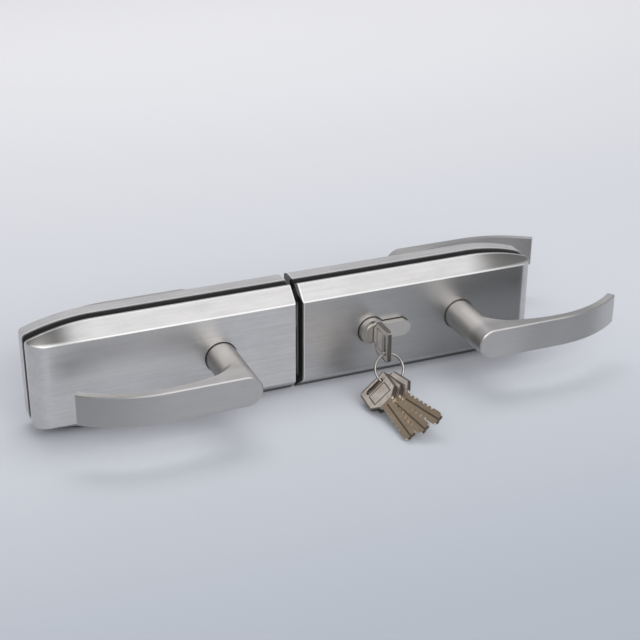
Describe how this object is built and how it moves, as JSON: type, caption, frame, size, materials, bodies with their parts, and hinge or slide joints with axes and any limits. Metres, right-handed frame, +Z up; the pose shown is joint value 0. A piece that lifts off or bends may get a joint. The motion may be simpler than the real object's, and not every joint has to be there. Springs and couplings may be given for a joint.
{
  "type": "glass door lock",
  "caption": "Patch lock for a pair of frameless glass door leaves: clamp-on lock half and strike half, bent lever handles on both sides, profile cylinder with key and spare keys",
  "frame": {"origin": "on the line where the two halves meet, in the middle of the glass plane, at the bottom edge", "axes": "+X along the lock towards the cylinder half, -Y towards the front with the key, +Z up"},
  "size_m": [0.3645, 0.1692, 0.069],
  "materials": {
    "satin_steel": "satin, brushed along the length",
    "lever_steel": "satin, brushed along the grip",
    "plate_steel": "plain zinc plated sheet",
    "screw_steel": "zinc plated",
    "gasket_rubber": "matt black",
    "bush_plastic": "matt black",
    "cylinder_brass": "satin nickel on brass",
    "key_brass": "bright nickel on brass, cut edges bare",
    "bolt_steel": "polished nickel",
    "spring_steel": "bright spring wire"
  },
  "bodies": {
    "housing": {"cylinder_fixing_screw": "screw_steel", "euro_cylinder": "cylinder_brass", "latch_spring": "spring_steel", "left_clamp_bolts": "screw_steel", "left_front_bush": "bush_plastic", "left_front_cover": "satin_steel", "left_front_cover_screws": "screw_steel", "left_front_gasket": "gasket_rubber", "left_front_plate": "plate_steel", "lock_case": "plate_steel", "lock_case_lid": "plate_steel", "lock_case_screws": "screw_steel", "lock_forend": "satin_steel", "lock_hub_spring": "spring_steel", "right_clamp_bolts": "screw_steel", "right_front_bush": "bush_plastic", "right_front_cover": "satin_steel", "right_front_cover_screws": "screw_steel", "right_front_gasket": "gasket_rubber", "right_front_plate": "plate_steel", "strike_case": "plate_steel", "strike_case_lid": "plate_steel", "strike_case_screws": "screw_steel", "strike_forend": "satin_steel", "strike_hub_spring": "spring_steel"},
    "right_back_half": {"right_back_cover": "satin_steel", "right_back_gasket": "gasket_rubber", "right_back_cover_screws": "screw_steel", "right_back_bush": "bush_plastic", "right_back_plate": "plate_steel"},
    "left_back_half": {"left_back_cover": "satin_steel", "left_back_gasket": "gasket_rubber", "left_back_cover_screws": "screw_steel", "left_back_bush": "bush_plastic", "left_back_plate": "plate_steel"},
    "right_lever_set": {"right_front_lever": "lever_steel", "right_back_lever": "lever_steel", "right_spindle": "plate_steel", "right_front_set_screw": "screw_steel", "right_back_set_screw": "screw_steel", "lock_hub": "plate_steel"},
    "left_lever_set": {"left_front_lever": "lever_steel", "left_back_lever": "lever_steel", "left_spindle": "plate_steel", "left_front_set_screw": "screw_steel", "left_back_set_screw": "screw_steel", "strike_hub": "plate_steel"},
    "latch": {"latch_bolt": "bolt_steel"},
    "dead_bolt": {"deadbolt": "bolt_steel"},
    "plug_and_cam": {"front_plug": "cylinder_brass", "back_plug": "cylinder_brass", "cylinder_cam": "cylinder_brass"},
    "key_in_lock": {"door_key": "key_brass"},
    "ring": {"key_ring": "bolt_steel"},
    "spare_key_a": {"spare_key_1": "key_brass"},
    "spare_key_b": {"spare_key_2": "key_brass"},
    "spare_key_c": {"spare_key_3": "key_brass"}
  },
  "joints": [
    {"name": "right_lever_turn", "type": "hinge", "parent": "housing", "child": "right_lever_set", "pos_m": [0.1085, 0, 0.0345], "axis": [0, 1, 0], "range_deg": [0, 45], "stiffness_Nm_per_rad": 1.2, "springref_deg": -20.05},
    {"name": "left_lever_turn", "type": "hinge", "parent": "housing", "child": "left_lever_set", "pos_m": [-0.049, 0, 0.0345], "axis": [0, -1, 0], "range_deg": [0, 45], "stiffness_Nm_per_rad": 1.2, "springref_deg": -20.05},
    {"name": "latch_slide", "type": "slide", "parent": "housing", "child": "latch", "axis": [1, 0, 0], "range_m": [0, 0.012]},
    {"name": "plug_turn", "type": "hinge", "parent": "housing", "child": "plug_and_cam", "pos_m": [0.0482, 0, 0.0345], "axis": [0, 1, 0], "range_deg": [0, 360]},
    {"name": "deadbolt_slide", "type": "slide", "parent": "housing", "child": "dead_bolt", "axis": [-1, 0, 0], "range_m": [0, 0.012]},
    {"name": "key_slide", "type": "slide", "parent": "plug_and_cam", "child": "key_in_lock", "axis": [0, -1, 0], "range_m": [0, 0.033]},
    {"name": "ring_swing", "type": "hinge", "parent": "key_in_lock", "child": "ring", "pos_m": [0.0482, -0.0365, 0.02865], "axis": [1, 0, 0], "range_deg": [-20, 10]},
    {"name": "right_clamp_slide", "type": "slide", "parent": "housing", "child": "right_back_half", "axis": [0, 1, 0], "range_m": [0, 0.01]},
    {"name": "left_clamp_slide", "type": "slide", "parent": "housing", "child": "left_back_half", "axis": [0, 1, 0], "range_m": [0, 0.01]},
    {"name": "spare_key_a_swing", "type": "hinge", "parent": "ring", "child": "spare_key_a", "pos_m": [0.0419, -0.04438, 0.01483], "axis": [-0.7009, -0.1165, 0.7037], "range_deg": [-5, 5]},
    {"name": "spare_key_b_swing", "type": "hinge", "parent": "ring", "child": "spare_key_b", "pos_m": [0.04448, -0.04523, 0.01335], "axis": [-0.7009, -0.1165, 0.7037], "range_deg": [-5, 5]},
    {"name": "spare_key_c_swing", "type": "hinge", "parent": "ring", "child": "spare_key_c", "pos_m": [0.04779, -0.04561, 0.01268], "axis": [-0.7009, -0.1165, 0.7037], "range_deg": [-5, 5]}
  ],
  "couplings": [
    {"joint": "latch_slide", "follows": "right_lever_turn", "m_per_rad": 0.015278},
    {"joint": "deadbolt_slide", "follows": "plug_turn", "m_per_rad": 0.0019098}
  ]
}
